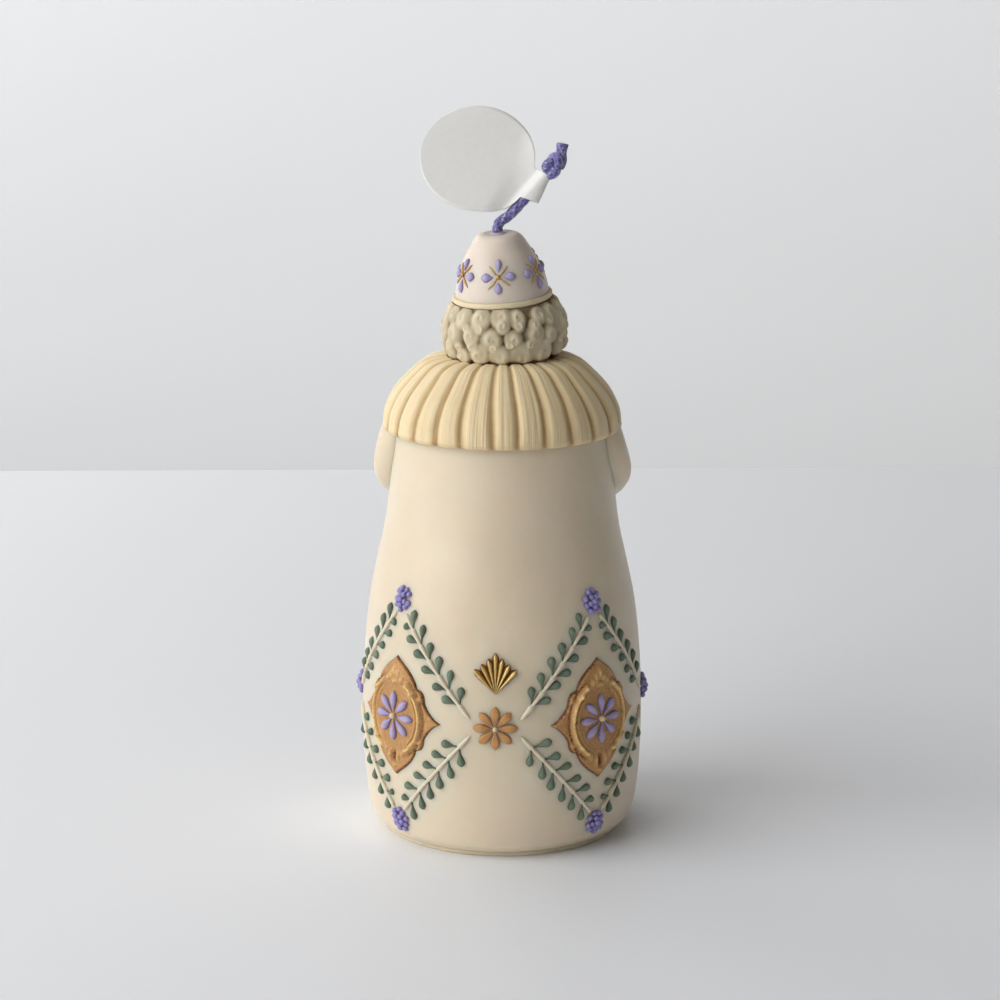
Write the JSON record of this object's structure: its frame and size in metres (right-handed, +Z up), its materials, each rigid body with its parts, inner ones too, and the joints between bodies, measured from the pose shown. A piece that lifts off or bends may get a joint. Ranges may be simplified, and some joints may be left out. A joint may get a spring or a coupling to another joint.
{
  "type": "tomte gnome candle figurine",
  "caption": "Standing gnome candle of cast wax with a fur-trimmed hat, fluted hair and beard, applied folk ornament, a knotted wick and a swinging paper tag.",
  "frame": {"origin": "centre of the flat underside of the base plate", "axes": "+Z up along the body, face towards -Y, the figure's left hand towards +X"},
  "size_m": [0.063, 0.0618, 0.152],
  "materials": {
    "cream_wax": "smooth translucent cast wax, soft satin",
    "hair_wax": "yellow cream wax, finely combed",
    "fur_wax": "grey beige wax, matt, tooled in curls",
    "band_wax": "pale yellow cream wax",
    "hat_wax": "smooth translucent cast wax, tinted lavender at the wick",
    "skin_wax": "skin coloured wax, satin",
    "ochre_wax": "ochre wax with worn bronze highlights",
    "rose_ochre_wax": "rose ochre wax",
    "lavender_wax": "lavender wax, satin",
    "leaf_wax": "grey green wax leaves on a cream stem",
    "gold_paint": "metallic gold paint",
    "wick_metal": "tinned sheet",
    "wick_cotton": "plied cotton, dyed and waxed",
    "tag_paper": "blank white label paper"
  },
  "bodies": {
    "root": {"base_plate": "cream_wax", "body": "cream_wax", "wick_sustainer": "wick_metal", "head": "skin_wax", "nose": "skin_wax", "moustache": "hair_wax", "beard": "hair_wax", "hair": "hair_wax", "fur_trim": "fur_wax", "hat_band": "band_wax", "hat_dome": "hat_wax", "sleeve_left": "cream_wax", "cuff_left": "fur_wax", "mitten_left": "lavender_wax", "sleeve_right": "cream_wax", "cuff_right": "fur_wax", "mitten_right": "lavender_wax", "medallion_1": "ochre_wax", "daisy_1": "lavender_wax", "berries_top_1": "lavender_wax", "berries_bottom_1": "lavender_wax", "sprig_upper_1a": "leaf_wax", "sprig_upper_1b": "leaf_wax", "sprig_lower_1a": "leaf_wax", "sprig_lower_1b": "leaf_wax", "medallion_2": "ochre_wax", "daisy_2": "lavender_wax", "berries_top_2": "lavender_wax", "berries_bottom_2": "lavender_wax", "sprig_upper_2a": "leaf_wax", "sprig_upper_2b": "leaf_wax", "sprig_lower_2a": "leaf_wax", "sprig_lower_2b": "leaf_wax", "medallion_3": "ochre_wax", "daisy_3": "lavender_wax", "berries_top_3": "lavender_wax", "berries_bottom_3": "lavender_wax", "sprig_upper_3a": "leaf_wax", "sprig_upper_3b": "leaf_wax", "sprig_lower_3a": "leaf_wax", "sprig_lower_3b": "leaf_wax", "medallion_4": "ochre_wax", "daisy_4": "lavender_wax", "berries_top_4": "lavender_wax", "berries_bottom_4": "lavender_wax", "sprig_upper_4a": "leaf_wax", "sprig_upper_4b": "leaf_wax", "sprig_lower_4a": "leaf_wax", "sprig_lower_4b": "leaf_wax", "flower_back": "rose_ochre_wax", "gold_fan_back": "gold_paint", "flower_front": "rose_ochre_wax", "gold_fan_front": "gold_paint", "berries_side_left": "lavender_wax", "berries_side_right": "lavender_wax", "wick_core": "wick_cotton", "wick_free_end": "wick_cotton", "wick_knot": "wick_cotton"},
    "tag": {"paper_tag": "tag_paper"}
  },
  "joints": [
    {"name": "tag_swing", "type": "hinge", "parent": "root", "child": "tag", "pos_m": [-0.0072, 0.0008, 0.1363], "axis": [-0.658, 0, 0.753], "range_deg": [-85, 100]}
  ]
}
